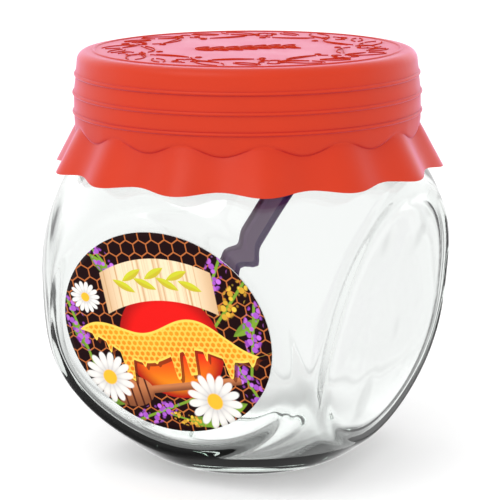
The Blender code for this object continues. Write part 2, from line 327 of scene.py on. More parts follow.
# %% Measure the lid
LID_TOP_Z = 113.2 * MM
LID_TOP_RADIUS = 46.0 * MM
LID_EDGE_ROUNDING = 2.6 * MM
LID_WALL_RADIUS = 47.0 * MM
LID_THICKNESS = 1.3 * MM
LID_INNER_CORNER = (1.3 * MM, 1.0 * MM)
LID_INNER_TAPER = 0.3 * MM
LID_INNER_FOOT = 3.0 * MM
BORDER_RADIUS = 41.5 * MM
BORDER_WIDTH = 0.8 * MM
BORDER_HEIGHT = 0.35 * MM
RING_HEIGHTS = (107.1 * MM, 102.1 * MM, 97.0 * MM)
RING_BASE_HALF_HEIGHT = 0.54 * MM
RING_CLEARANCE = 1.8 * MM
RING_STAND = 0.45 * MM
RING_FULLNESS = 0.7
CREASE_Z = 92.4 * MM
CREASE_RADIUS = 46.7 * MM
HEM_Z = 82.5 * MM
HEM_RADIUS = 51.9 * MM
WAVES = 14
WAVE_START = radians(34.0)
CREASE_LIFT = 1.3 * MM
CREASE_SWELL = 0.2 * MM
HEM_DROP = 0.5 * MM
HEM_SWELL = 1.4 * MM
LIP_HEIGHT = 1.5 * MM
LIP_DEPTH = 0.05 * MM
LIP_FADE = 0.12
print("the hem swings between", round((HEM_RADIUS - HEM_SWELL) / MM, 1), "and",
      round((HEM_RADIUS + HEM_SWELL) / MM, 1), "mm from the axis")

# %% Outline the lid
TOP_ROWS = 8
RING_ROWS = 10
LIP_ROWS = 6
SKIRT_ROWS = 22
LID_SEGMENTS = WAVES * 24


def wall_radius(height):
    """Radius of the lid's wall, which widens slightly towards the skirt."""
    top = LID_TOP_Z - LID_EDGE_ROUNDING
    share = (top - height) / (top - CREASE_Z)
    return LID_TOP_RADIUS + (LID_WALL_RADIUS - LID_TOP_RADIUS) * min(1.0, 2.0 * share)


def lid_outside():
    """Outside of the lid from the middle of its top down past the lowest ring."""
    half = BORDER_WIDTH / 2
    centre = (0.0, LID_TOP_Z)
    points = [centre] + line(centre, (BORDER_RADIUS - half, LID_TOP_Z), TOP_ROWS)
    for share in arc(0.0, 1.0, SMALL_CURVE_ROWS)[1:]:
        points.append((BORDER_RADIUS - half + BORDER_WIDTH * share,
                       LID_TOP_Z + BORDER_HEIGHT * sin(pi * share)))
    middle = LID_TOP_RADIUS - LID_EDGE_ROUNDING
    for turn in arc(pi / 2, 0.0, ROUNDING_ROWS):
        points.append((middle + LID_EDGE_ROUNDING * cos(turn),
                       LID_TOP_Z + LID_EDGE_ROUNDING * (sin(turn) - 1)))
    for ring_z in RING_HEIGHTS:
        wall = wall_radius(ring_z)
        above = ring_z + RING_CLEARANCE
        points.append((wall_radius(above), above))
        for share in arc(-1.0, 1.0, RING_ROWS):
            swell = cos(pi * share / 2) ** RING_FULLNESS
            points.append((wall + RING_STAND * swell, ring_z - RING_BASE_HALF_HEIGHT * share))
    return points


def skirt_point(share, angle):
    """Radius and height of the skirt, from the crease (0) to the hem (1)."""
    wave = cos(WAVES * (angle - WAVE_START))
    radius = CREASE_RADIUS + (HEM_RADIUS - CREASE_RADIUS) * share
    height = CREASE_Z + (HEM_Z - CREASE_Z) * share
    radius += (CREASE_SWELL + (HEM_SWELL - CREASE_SWELL) * share) * wave
    height += (CREASE_LIFT * (1 - share) - HEM_DROP * share) * wave
    return radius, height


def lip_point(share, angle):
    """Radius and height of the wall's rounded lower lip, down to the crease."""
    radius, height = skirt_point(0.0, angle)
    bulge = sqrt(max(1.0 - share ** 2, 0.0))
    stand = LID_WALL_RADIUS - CREASE_RADIUS + LIP_DEPTH
    radius = min(radius, CREASE_RADIUS) - LIP_DEPTH + stand * bulge
    return radius, height + LIP_HEIGHT * (1.0 - share)


# %% [markdown]
# The rows of the lip and of both sides of the skirt can't be drawn as one
# outline, because their radius and height change round the lid. Each waits one
# metre below the last while the outline is spun, so that its height is its
# number, and then moves to where the wave wants it.

# %% Spin the lid and wave its skirt
FIRST_ROW_Z = -1.0
shares = arc(0.0, 1.0, SKIRT_ROWS)
waiting_rows = [(HEM_RADIUS, FIRST_ROW_Z - row) for row in range(LIP_ROWS + 2 * len(shares))]
inner_top = LID_TOP_Z - LID_THICKNESS
inner_radius = LID_TOP_RADIUS - LID_THICKNESS
lid_inside = [
    (inner_radius, CREASE_Z + LID_INNER_FOOT),
    (inner_radius - LID_INNER_TAPER, inner_top - LID_INNER_CORNER[1]),
    (inner_radius - LID_INNER_CORNER[0], inner_top),
    (inner_radius / 2, inner_top),
    (0.0, inner_top),
]
lid_mesh = spin_profile(lid_outside() + waiting_rows + lid_inside, LID_SEGMENTS)
lean = hypot(HEM_RADIUS - CREASE_RADIUS, CREASE_Z - HEM_Z)
inward = LID_THICKNESS * (CREASE_Z - HEM_Z) / lean
upward = LID_THICKNESS * (HEM_RADIUS - CREASE_RADIUS) / lean
for vert in lid_mesh.verts:
    if vert.co.z > FIRST_ROW_Z / 2:
        continue
    row = round(FIRST_ROW_Z - vert.co.z)
    angle = polar(vert.co)[0]
    skirt_row = row - LIP_ROWS
    if skirt_row < 0:
        radius, height = lip_point(row / LIP_ROWS, angle)
    elif skirt_row < len(shares):
        radius, height = skirt_point(shares[skirt_row], angle)
        radius -= LIP_DEPTH * max(1.0 - shares[skirt_row] / LIP_FADE, 0.0)
    else:
        radius, height = skirt_point(shares[2 * len(shares) - 1 - skirt_row], angle)
        radius -= inward
        height -= upward if skirt_row > len(shares) else 0.0
    vert.co = polar_point(angle, radius, height)
bmesh.ops.recalc_face_normals(lid_mesh, faces=lid_mesh.faces)
lid = finish_piece("frilled_lid", lid_mesh, "lid")

# %% [markdown]
# ## Relief on the lid
#
# The flat top carries a fine raised drawing: a wreath of leaves and blossoms
# round a leafy twig. Each motif is only an outline, as thin as a pencil line.
# A circle is bent to the outline of a leaf or a flower, inset by the width of
# the stroke, and the middle is removed. What is left gets its height and a
# soft edge from two modifiers.

# %% Draw one outline of the relief
STROKE = 0.23 * MM
RELIEF_SINK = 0.06 * MM
LEAF_LENGTH = 7.2 * MM
LEAF_WIDTH = 2.9 * MM
BLOSSOM_RADIUS = 3.6 * MM
BERRY_RADIUS = 0.9 * MM
LEAF_FULLNESS = 0.35
PETAL_FULLNESS = 0.55
PETALS = 5
OUTLINE_STEPS = 50
relief_mesh = bmesh.new()


def leaf_outline(angle):
    """A pointed leaf that runs along its own y."""
    return LEAF_WIDTH * sin(angle) * abs(sin(angle)) ** LEAF_FULLNESS, LEAF_LENGTH * cos(angle)


def blossom_outline(angle):
    """A flower of five round petals."""
    radius = BLOSSOM_RADIUS * (0.5 + 0.5 * abs(cos(PETALS / 2 * angle)) ** PETAL_FULLNESS)
    return radius * sin(angle), radius * cos(angle)


def ring_outline(angle):
    """A plain small ring, for the berries."""
    return BERRY_RADIUS * sin(angle), BERRY_RADIUS * cos(angle)


def add_outline(shape, angle, radius, turn, size=1.0, gaps=()):
    """One outline at a polar place on the lid, turned on the spot, left open at some gaps."""
    circle = bmesh.ops.create_circle(relief_mesh, cap_ends=True, segments=OUTLINE_STEPS, radius=1.0)
    made = circle["verts"]
    for number, vert in enumerate(made):
        x, y = shape(2 * pi * number / OUTLINE_STEPS)
        vert.co = Vector((x * size, y * size, 0.0))
    middle = made[0].link_faces[0]
    strokes = bmesh.ops.inset_individual(relief_mesh, faces=[middle], thickness=STROKE)["faces"]
    unwanted = [middle]
    for stroke in strokes:
        numbers = [made.index(vert) for vert in stroke.verts if vert in made]
        share = min(numbers) / OUTLINE_STEPS
        if any(start <= share < stop for start, stop in gaps):
            unwanted.append(stroke)
    corners = list({vert for stroke in strokes if stroke not in unwanted for vert in stroke.verts})
    bmesh.ops.delete(relief_mesh, geom=unwanted, context="FACES")
    place = polar_point(angle, radius, LID_TOP_Z - RELIEF_SINK)
    bmesh.ops.rotate(relief_mesh, verts=corners, cent=(0, 0, 0), matrix=Matrix.Rotation(turn, 3, "Z"))
    bmesh.ops.translate(relief_mesh, verts=corners, vec=place)


# %% Lay the wreath
WREATH_MOTIFS = 9
WREATH_RADIUS = 31.0 * MM
WREATH_STEP = 2 * pi / WREATH_MOTIFS
BLOSSOM_OUT = 1.6 * MM
BERRY_IN = 6.4 * MM
BERRY_SHARE = 0.96
BERRY_SIZE = 0.9
LEAF_GAPS = ((0.0, 0.06), (0.44, 0.58), (0.94, 1.0))
HALF_LEAF_GAPS = ((0.0, 0.08), (0.47, 1.0))
BLOSSOM_GAPS = ((0.30, 0.42), (0.72, 0.80))
WREATH_LEAVES = (
    # share of the step, millimetres outwards, turn in degrees, size, gaps
    (0.32, 3.8, 62.0, 0.85, LEAF_GAPS),
    (0.58, -3.2, 118.0, 1.0, HALF_LEAF_GAPS),
    (0.72, 4.4, 84.0, 0.6, LEAF_GAPS),
)
for number in range(WREATH_MOTIFS):
    angle = WREATH_STEP * number
    add_outline(blossom_outline, angle, WREATH_RADIUS + BLOSSOM_OUT, angle * 2.0, gaps=BLOSSOM_GAPS)
    for share, out, turn, size, gaps in WREATH_LEAVES:
        leaf_angle = angle + share * WREATH_STEP
        leaf_radius = WREATH_RADIUS + out * MM
        add_outline(leaf_outline, leaf_angle, leaf_radius, angle + radians(turn), size, gaps)
    berry_angle = angle + BERRY_SHARE * WREATH_STEP
    add_outline(ring_outline, berry_angle, WREATH_RADIUS - BERRY_IN, 0.0, BERRY_SIZE)
print("the wreath has", len(relief_mesh.faces), "faces")

# %% Lay the twig and raise the relief
STEM_HALF_LENGTH = 13.5 * MM
STEM_HALF_WIDTH = 0.276 * MM
STEM_STEPS = 80
STEM_TURN = CAMERA_AZIMUTH + radians(9.0)
STEM_SWING = 1.0 * MM
STEM_PAIRS = 3
STEM_LEAF_SPACING = STEM_HALF_LENGTH / 3.4
STEM_LEAF_OUT = 2.5 * MM
STEM_LEAF_TURN = radians(48.0)
STEM_LEAF_SIZE = 0.36
RELIEF_HEIGHT = 0.32 * MM
RELIEF_EDGE = 0.08 * MM
turn_stem = Matrix.Rotation(STEM_TURN, 3, "Z")


def stem_sway(along):
    """How far the twig swings aside at a place along it."""
    return STEM_SWING * sin(pi * along / STEM_HALF_LENGTH)


stem = bmesh.ops.create_grid(relief_mesh, x_segments=STEM_STEPS, y_segments=1, size=1.0)["verts"]
for vert in stem:
    along = vert.co.x * STEM_HALF_LENGTH
    side = vert.co.y * STEM_HALF_WIDTH
    vert.co = Vector((along, stem_sway(along) + side, LID_TOP_Z - RELIEF_SINK))
bmesh.ops.rotate(relief_mesh, verts=stem, cent=(0, 0, 0), matrix=turn_stem)
for number in range(-STEM_PAIRS, STEM_PAIRS + 1):
    for side in (-1, 1):
        along = number * STEM_LEAF_SPACING
        place = Vector((along, stem_sway(along) + side * STEM_LEAF_OUT, 0.0))
        place.rotate(turn_stem)
        angle, radius = polar(place)
        add_outline(leaf_outline, angle, radius, STEM_TURN - side * STEM_LEAF_TURN, STEM_LEAF_SIZE)
for face in relief_mesh.faces:
    if face.normal.z < 0:
        face.normal_flip()
relief = finish_piece("lid_relief", relief_mesh, None)
raised = relief.modifiers.new("height", "SOLIDIFY")
raised.thickness = RELIEF_HEIGHT
raised.offset = 1.0
soft_edge = relief.modifiers.new("soft_edge", "BEVEL")
soft_edge.width = RELIEF_EDGE
soft_edge.segments = 2

# %% [markdown]
# ## The label
#
# A thin oval sticker on the flat front panel. A flat disc is spun, stretched to
# the oval, laid on the panel and given a thickness. Its flat coordinates are
# kept in millimetres as a UV map, so that the print can be laid out on them.

# %% Build the label
LABEL_HALF_WIDTH = 30.8 * MM
LABEL_HALF_HEIGHT = 28.0 * MM
LABEL_TURN = radians(6.5)
LABEL_SHIFT_X = 0.3 * MM
LABEL_SHIFT_UP = 0.5 * MM
LABEL_THICKNESS = 0.25 * MM
GAP = 0.3 * MM
LABEL_ROWS = 24
LABEL_SEGMENTS = 160


def on_panel(across, along, lift):
    """A point of the label, from its own two coordinates and its height off the glass."""
    up = Vector((0.0, -sin(PANEL_LEAN), cos(PANEL_LEAN)))
    outward = Vector((0.0, -cos(PANEL_LEAN), -sin(PANEL_LEAN)))
    x = across * cos(LABEL_TURN) - along * sin(LABEL_TURN) + LABEL_SHIFT_X
    rise = across * sin(LABEL_TURN) + along * cos(LABEL_TURN) + LABEL_SHIFT_UP
    flat = Vector((x, 0.0, GLOBE_CENTRE_Z)) + outward * PANEL_DISTANCE + up * rise
    angle, radius = polar(flat)
    surface = pulled_in(globe_radius(flat.z), flat.z, angle, PANEL_DISTANCE, OUTER_RIDGE)
    return polar_point(angle, min(radius, surface) + lift, flat.z)


label_mesh = spin_profile([(share, 0.0) for share in arc(0.0, 1.0, LABEL_ROWS)], LABEL_SEGMENTS)
label_uv = label_mesh.loops.layers.uv.new("print")
for face in label_mesh.faces:
    for loop in face.loops:
        share = loop.vert.co
        loop[label_uv].uv = (share.x * LABEL_HALF_WIDTH / MM, share.y * LABEL_HALF_HEIGHT / MM)
for vert in label_mesh.verts:
    across = vert.co.x * LABEL_HALF_WIDTH
    along = vert.co.y * LABEL_HALF_HEIGHT
    vert.co = on_panel(across, along, GAP + LABEL_THICKNESS)
bmesh.ops.recalc_face_normals(label_mesh, faces=label_mesh.faces)
if sum(face.normal.y for face in label_mesh.faces) > 0:
    bmesh.ops.reverse_faces(label_mesh, faces=label_mesh.faces)
label = finish_piece("printed_label", label_mesh, "label")
sheet = label.modifiers.new("thickness", "SOLIDIFY")
sheet.thickness = LABEL_THICKNESS
sheet.offset = -1.0
sheet.material_offset = 1
sheet.material_offset_rim = 1

# %% [markdown]
# ## The spoon
#
# A flat plastic teaspoon leans across the jar. It starts as a flat grid that is
# widened, dished and laid along its slanting line, and then gets a thickness.
# The edges of the handle are raised into two rails, which stiffen it. The rail
# on the shaded side gets painted shade: its points carry a mark, a float
# attribute, that the spoon's material reads to paint that rail darker.

# %% Measure the spoon
SPOON_TIP = (-31.0 * MM, 15.0 * MM)
SPOON_END = (31.5 * MM, 105.2 * MM)
BOWL_LENGTH = 38.0 * MM
BOWL_HALF_WIDTH = 11.5 * MM
BOWL_DEPTH = 5.0 * MM
BOWL_TIP_HALF_WIDTH = 2.4 * MM
BOWL_EGG_POWER = 0.9
HANDLE_HALF_WIDTH_NECK = 2.9 * MM
HANDLE_HALF_WIDTH_END = 3.9 * MM
HANDLE_ROUNDING = 0.035
HANDLE_END_FLAT = 0.2
SPOON_THICKNESS = 1.7 * MM
RAIL_HEIGHT = 0.7 * MM
RAIL_START = 8.0 * MM
RAIL_FROM = 0.55
# Which rail gets painted shade, and where that shade starts and fades across the spoon.
SHADED_RAIL_SIDE = -1.0
RAIL_SHADE_FROM = 0.4
RAIL_SHADE_FADE = 0.12
SPOON_COLUMNS = 20
SPOON_ROWS = 120
SPOON_ROW_POWER = 1.25
SPOON_LENGTH = hypot(SPOON_END[0] - SPOON_TIP[0], SPOON_END[1] - SPOON_TIP[1])
print("the spoon is", round(SPOON_LENGTH / MM, 1), "mm long")


def spoon_half_width(distance):
    """Half width of the spoon at a distance from the tip of its bowl."""
    along = (distance - BOWL_LENGTH) / (SPOON_LENGTH - BOWL_LENGTH)
    handle = HANDLE_HALF_WIDTH_NECK
    handle += (HANDLE_HALF_WIDTH_END - HANDLE_HALF_WIDTH_NECK) * max(along, 0.0)
    egg = min(distance / BOWL_LENGTH, 1.0)
    bowl = BOWL_HALF_WIDTH * sqrt(max(1.0 - (2.0 * egg ** BOWL_EGG_POWER - 1.0) ** 2, 0.0))
    into_end = max((along - 1.0) / HANDLE_ROUNDING + 1.0, 0.0)
    rounded_end = sqrt(max(1.0 - into_end ** 2, HANDLE_END_FLAT))
    if distance < BOWL_LENGTH / 2:
        return max(bowl, BOWL_TIP_HALF_WIDTH)
    return max(bowl, handle) * rounded_end


# %% Build the spoon
spoon_mesh = bmesh.new()
bmesh.ops.create_grid(spoon_mesh, x_segments=SPOON_COLUMNS, y_segments=SPOON_ROWS, size=1.0)
diagonal = Vector((sqrt(0.5), sqrt(0.5), 0.0))
facing = Vector((sqrt(0.5), -sqrt(0.5), 0.0))
tip = diagonal * SPOON_TIP[0] + Vector((0, 0, SPOON_TIP[1]))
end = diagonal * SPOON_END[0] + Vector((0, 0, SPOON_END[1]))
along_spoon = (end - tip).normalized()
across_spoon = facing.cross(along_spoon).normalized()
rail_shade_mark = spoon_mesh.verts.layers.float.new("rail")
for vert in spoon_mesh.verts:
    share_across = vert.co.x
    distance = SPOON_LENGTH * ((vert.co.y + 1.0) / 2.0) ** SPOON_ROW_POWER
    side = share_across * spoon_half_width(distance)
    dish = max(1.0 - (2.0 * distance / BOWL_LENGTH - 1.0) ** 2, 0.0)
    depth = BOWL_DEPTH * dish * (1.0 - share_across ** 2)
    on_handle = min(max((distance - BOWL_LENGTH) / RAIL_START, 0.0), 1.0)
    rail = RAIL_HEIGHT * on_handle * max((abs(share_across) - RAIL_FROM) / (1.0 - RAIL_FROM), 0.0)
    # Painted shade: the rail on the shaded side is marked for the material to darken.
    painted_rail_shade = min(max((share_across * SHADED_RAIL_SIDE - RAIL_SHADE_FROM) / RAIL_SHADE_FADE, 0.0), 1.0)
    vert[rail_shade_mark] = on_handle * painted_rail_shade
    vert.co = tip + along_spoon * distance + across_spoon * side + facing * (rail - depth)
bmesh.ops.recalc_face_normals(spoon_mesh, faces=spoon_mesh.faces)
spoon = finish_piece("violet_spoon", spoon_mesh, "spoon")
thick = spoon.modifiers.new("thickness", "SOLIDIFY")
thick.thickness = SPOON_THICKNESS
thick.offset = 0.0

# %% [markdown]
# ## Node helpers
#
# Every finish below is a small tree of shader nodes. These helpers add one node
# each, and take either a plain number or the output of another node.

# %% Helpers for node trees
def add_node(tree, kind, **settings):
    """A shader node with its settings."""
    node = tree.nodes.new("ShaderNode" + kind)
    for name, value in settings.items():
        setattr(node, name, value)
    return node


def feed(tree, socket, value):
    """Link an input to another node's output, or give it a plain value."""
    if isinstance(value, bpy.types.NodeSocket):
        tree.links.new(value, socket)
    else:
        socket.default_value = value


def calc(tree, operation, *values):
    """One Math node."""
    node = add_node(tree, "Math", operation=operation)
    for socket, value in zip(node.inputs, values):
        feed(tree, socket, value)
    return node.outputs[0]


def vector_calc(tree, operation, *values):
    """One Vector Math node, giving a number where the operation gives one."""
    node = add_node(tree, "VectorMath", operation=operation)
    for socket, value in zip(node.inputs, values):
        feed(tree, socket, value)
    return node.outputs["Value" if operation in ("DOT_PRODUCT", "LENGTH") else "Vector"]


def scaled(tree, vector, factor):
    """A vector times a number."""
    node = add_node(tree, "VectorMath", operation="SCALE")
    feed(tree, node.inputs[0], vector)
    feed(tree, node.inputs["Scale"], factor)
    return node.outputs[0]


def split(tree, vector):
    """The x, y and z of a vector."""
    node = add_node(tree, "SeparateXYZ")
    tree.links.new(vector, node.inputs[0])
    return node.outputs


def fade(tree, value, start, end, low=0.0, high=1.0):
    """A soft step: low at or before start, high at or past end."""
    node = add_node(tree, "MapRange", interpolation_type="SMOOTHSTEP")
    for socket, number in zip(node.inputs, (value, start, end, low, high)):
        feed(tree, socket, number)
    return node.outputs[0]


def mix_colour(tree, share, below, above, blend="MIX"):
    """The colour above laid over the colour below, where share is 1."""
    node = add_node(tree, "Mix", data_type="RGBA", blend_type=blend)
    feed(tree, node.inputs["Factor"], share)
    feed(tree, node.inputs[6], below if isinstance(below, bpy.types.NodeSocket) else (*below, 1.0))
    feed(tree, node.inputs[7], above if isinstance(above, bpy.types.NodeSocket) else (*above, 1.0))
    return node.outputs[2]


def new_group(name, inputs, outputs):
    """A shader node group with named sockets. Numbers and vectors differ by their default value."""
    tree = bpy.data.node_groups.new(name, "ShaderNodeTree")
    for socket_name, value in inputs.items():
        kind = "NodeSocketVector" if isinstance(value, tuple) else "NodeSocketFloat"
        tree.interface.new_socket(socket_name, in_out="INPUT", socket_type=kind).default_value = value
    for socket_name, kind in outputs.items():
        tree.interface.new_socket(socket_name, in_out="OUTPUT", socket_type="NodeSocket" + kind)
    return tree, tree.nodes.new("NodeGroupInput").outputs, tree.nodes.new("NodeGroupOutput").inputs


def use_group(tree, group, **values):
    """Place a group and feed its inputs, whose names are given in lower case."""
    node = tree.nodes.new("ShaderNodeGroup")
    node.node_tree = group
    for socket in node.inputs:
        given = socket.name.lower().replace(" ", "_")
        if given in values:
            feed(tree, socket, values[given])
    return node.outputs


def new_material(name):
    """A material with its node tree and its Principled shader."""
    material = bpy.data.materials.new(name)
    material.use_nodes = True
    return material, material.node_tree, material.node_tree.nodes["Principled BSDF"]


# %% [markdown]
# ## Moulded surface
#
# Moulded plastic is never quite even. The gloss changes a little from place to
# place, and the surface has very low, slow waves. Both the lid and the spoon
# need this, so it is one group with its own scale and strength in each.

# %% Make the moulded-surface group
FINE_GRAIN = 14.0
FINE_SHARE = 0.12
moulded, given, result = new_group(
    "moulded_surface",
    {"Vector": (0.0, 0.0, 0.0), "Scale": 100.0, "Low Gloss": 0.25, "High Gloss": 0.4, "Tone Spread": 0.06},
    {"Roughness": "Float", "Height": "Float", "Tone": "Float"},
)
slow = add_node(moulded, "TexNoise")
feed(moulded, slow.inputs["Vector"], given["Vector"])
feed(moulded, slow.inputs["Scale"], given["Scale"])
slow.inputs["Detail"].default_value = 3.0
fine = add_node(moulded, "TexNoise")
feed(moulded, fine.inputs["Vector"], given["Vector"])
feed(moulded, fine.inputs["Scale"], calc(moulded, "MULTIPLY", given["Scale"], FINE_GRAIN))
wave = slow.outputs["Fac"]
gloss = fade(moulded, wave, 0.3, 0.7, given["Low Gloss"], given["High Gloss"])
feed(moulded, result["Roughness"], gloss)
feed(moulded, result["Height"], calc(moulded, "MULTIPLY_ADD", fine.outputs["Fac"], FINE_SHARE, wave))
spread = calc(moulded, "MULTIPLY", calc(moulded, "SUBTRACT", wave, 0.5), given["Tone Spread"])
feed(moulded, result["Tone"], calc(moulded, "MULTIPLY_ADD", spread, 2.0, 1.0))
print("moulded_surface has", len(moulded.nodes), "nodes")

# %% [markdown]
# ## Plastics
#
# The lid is an orange-red plastic with painted shade in its folds: there, where
# the light reaches it only off the plastic itself, its colour is painted deeper
# red, and the ambient occlusion node finds those folds. The relief on the top is
# duller than the polished face round it, which is what makes its thin lines
# readable. A pale pink sheen stands for the bleached rims seen where the lid
# turns away. The spoon is a dull violet, with painted shade on the rail that
# carries the mark.

# %% Paint the lid and the spoon
LID_RED = (0.58, 0.030, 0.002)
# The deeper red is painted shade for the lid's folds, and the relief's random tone also runs down to it.
LID_SHADE_AND_TONE_RED = (0.42, 0.003, 0.005)
SPOON_FACE = (0.26, 0.14, 0.29)
# The darker violet is painted shade on the rail on the shaded side.
SPOON_RAIL_SHADE = (0.11, 0.025, 0.20)
RIM_PINK = (1.0, 0.58, 0.88, 1.0)
FOLD_REACH = 9.0 * MM
WAVE_STRENGTH = 0.25
WAVE_HEIGHT = 0.25 * MM


def plastic(name, scale, gloss, tone_spread):
    """A moulded plastic with uneven gloss and a slightly wavy surface."""
    material, tree, shader = new_material(name)
    place = add_node(tree, "TexCoord").outputs["Object"]
    surface = use_group(tree, moulded, vector=place, scale=scale,
                        low_gloss=gloss[0], high_gloss=gloss[1], tone_spread=tone_spread)
    feed(tree, shader.inputs["Roughness"], surface["Roughness"])
    bump = add_node(tree, "Bump")
    bump.inputs["Strength"].default_value = WAVE_STRENGTH
    bump.inputs["Distance"].default_value = WAVE_HEIGHT
    feed(tree, bump.inputs["Height"], surface["Height"])
    feed(tree, shader.inputs["Normal"], bump.outputs["Normal"])
    return material, tree, shader, surface


red_plastic, tree, shader, surface = plastic(
    "red_plastic", scale=70.0, gloss=(0.42, 0.54), tone_spread=0.06)
# Painted shade: ambient occlusion mixes the base colour towards the deeper red in the folds.
folds = add_node(tree, "AmbientOcclusion", samples=8)
folds.inputs["Distance"].default_value = FOLD_REACH
painted_fold_shade = fade(tree, folds.outputs["AO"], 0.6, 0.97, 1.0, 0.0)
red = mix_colour(tree, painted_fold_shade, LID_RED, LID_SHADE_AND_TONE_RED)
feed(tree, shader.inputs["Base Color"], scaled(tree, red, surface["Tone"]))
shader.inputs["Specular IOR Level"].default_value = 0.28
shader.inputs["Sheen Weight"].default_value = 1.0
shader.inputs["Sheen Roughness"].default_value = 0.3
shader.inputs["Sheen Tint"].default_value = RIM_PINK
lid.data.materials.append(red_plastic)

matt_red, tree, shader, surface = plastic(
    "matt_red_plastic", scale=300.0, gloss=(0.55, 0.7), tone_spread=0.05)
feed(tree, shader.inputs["Base Color"], mix_colour(tree, surface["Tone"], LID_SHADE_AND_TONE_RED, LID_RED))
shader.inputs["Specular IOR Level"].default_value = 0.1
relief.data.materials.append(matt_red)

violet_plastic, tree, shader, surface = plastic(
    "violet_plastic", scale=120.0, gloss=(0.3, 0.45), tone_spread=0.1)
# Painted shade: the marked rail is darkened in the base colour.
rail_shade = add_node(tree, "Attribute", attribute_name="rail")
violet = mix_colour(tree, rail_shade.outputs["Fac"], SPOON_FACE, SPOON_RAIL_SHADE)
feed(tree, shader.inputs["Base Color"], scaled(tree, violet, surface["Tone"]))
spoon.data.materials.append(violet_plastic)
print("plastics:", red_plastic.name, matt_red.name, violet_plastic.name)

# %% [markdown]
# ## Glass
#
# Clear glass with a faint green that only shows along thick edges. A volume
# absorption gives just that, because the light loses a little green's opposite
# on every millimetre it travels inside the wall.

# %% Make the glass
GLASS_IOR = 1.5
DEPTH_GREEN = (0.45, 0.62, 0.52, 1.0)
DEPTH_DENSITY = 22.0
clear_glass, tree, shader = new_material("clear_glass")
shader.inputs["Base Color"].default_value = (1.0, 1.0, 1.0, 1.0)
shader.inputs["Roughness"].default_value = 0.0
shader.inputs["IOR"].default_value = GLASS_IOR
shader.inputs["Transmission Weight"].default_value = 1.0
depth_tint = add_node(tree, "VolumeAbsorption")
depth_tint.inputs["Color"].default_value = DEPTH_GREEN
depth_tint.inputs["Density"].default_value = DEPTH_DENSITY
tree.links.new(depth_tint.outputs["Volume"], tree.nodes["Material Output"].inputs["Volume"])
glass_jar.data.materials.append(clear_glass)
print("glass bends light by", GLASS_IOR)

# %% [markdown]
# ## The printed film: a honeycomb
#
# The print is drawn in millimetres on the label's own flat coordinates. Its
# ground is a honeycomb. Two rectangular lattices of points, one shifted by half
# a cell both ways, are together the centres of all hexagons. The nearer centre
# wins, and the distance to the hexagon's side gives the line.

# %% Make the honeycomb group
HALF_CELL = (0.5, sqrt(3) / 2, 1.0)
HALF_CELL_BACK = (-0.5, -sqrt(3) / 2, -1.0)
honeycomb, given, result = new_group(
    "honeycomb_lines",
    {"Vector": (0.0, 0.0, 0.0), "Cell": 3.9, "Line": 0.36},
    {"Line Mask": "Float"},
)
in_cells = scaled(honeycomb, given["Vector"], calc(honeycomb, "DIVIDE", 1.0, given["Cell"]))
first = vector_calc(honeycomb, "WRAP", in_cells, HALF_CELL, HALF_CELL_BACK)
shifted = vector_calc(honeycomb, "ADD", in_cells, HALF_CELL)
second = vector_calc(honeycomb, "WRAP", shifted, HALF_CELL, HALF_CELL_BACK)


def hexagon_reach(tree, offset):
    """How far a point is out from a hexagon's centre, 0.5 at its sides."""
    x, y = split(tree, vector_calc(tree, "ABSOLUTE", offset))[:2]
    slanting = calc(tree, "MULTIPLY_ADD", x, 0.5, calc(tree, "MULTIPLY", y, sqrt(3) / 2))
    return calc(tree, "MAXIMUM", x, slanting)


reach = calc(honeycomb, "MINIMUM", hexagon_reach(honeycomb, first), hexagon_reach(honeycomb, second))
to_side = calc(honeycomb, "MULTIPLY", calc(honeycomb, "SUBTRACT", 0.5, reach), given["Cell"])
line_core = calc(honeycomb, "MULTIPLY", given["Line"], 0.35)
line_edge = calc(honeycomb, "MULTIPLY", given["Line"], 0.75)
feed(honeycomb, result["Line Mask"], fade(honeycomb, to_side, line_core, line_edge, 1.0, 0.0))
print("honeycomb_lines has", len(honeycomb.nodes), "nodes")

# %% [markdown]
# ## The printed film: flowers and leaves
#
# White blossoms, violet flower heads, leaves and a wooden stirring stick lie
# round a swag of golden comb. Each motif is a group that draws itself once at
# the origin, and is placed as often as it is wanted. Blossoms, flower heads and
# leaves are one unit large. Polar coordinates make the petals: the outline
# swings in and out as the angle goes round.

# %% Make the blossom group
FLAT = {"Vector": (0.0, 0.0, 0.0)}
PETAL_ROOT = 0.56
PETAL_SWING = 0.42
blossom, given, result = new_group(
    "blossom", {**FLAT, "Petals": 15.0}, {"Petal Mask": "Float", "Heart Mask": "Float", "Shade": "Float"})
tree = blossom
x, y = split(tree, given["Vector"])[:2]
radius = vector_calc(tree, "LENGTH", given["Vector"])
angle = calc(tree, "ARCTAN2", x, y)
half_turns = calc(tree, "MULTIPLY", angle, calc(tree, "MULTIPLY", given["Petals"], 0.5))
swing = calc(tree, "ABSOLUTE", calc(tree, "COSINE", half_turns))
petal_tip = calc(tree, "MULTIPLY_ADD", calc(tree, "POWER", swing, 0.45), PETAL_SWING, PETAL_ROOT)
past_tip = calc(tree, "SUBTRACT", radius, petal_tip)
feed(tree, result["Petal Mask"], fade(tree, past_tip, -0.05, 0.03, 1.0, 0.0))
feed(tree, result["Heart Mask"], fade(tree, radius, 0.25, 0.31, 1.0, 0.0))
groove = calc(tree, "MULTIPLY_ADD", calc(tree, "POWER", swing, 0.5), 0.4, 0.6)
near_heart = fade(tree, radius, 0.24, 0.6, 0.6, 1.0)
feed(tree, result["Shade"], calc(tree, "MULTIPLY", groove, near_heart))
print("blossom has", len(blossom.nodes), "nodes")

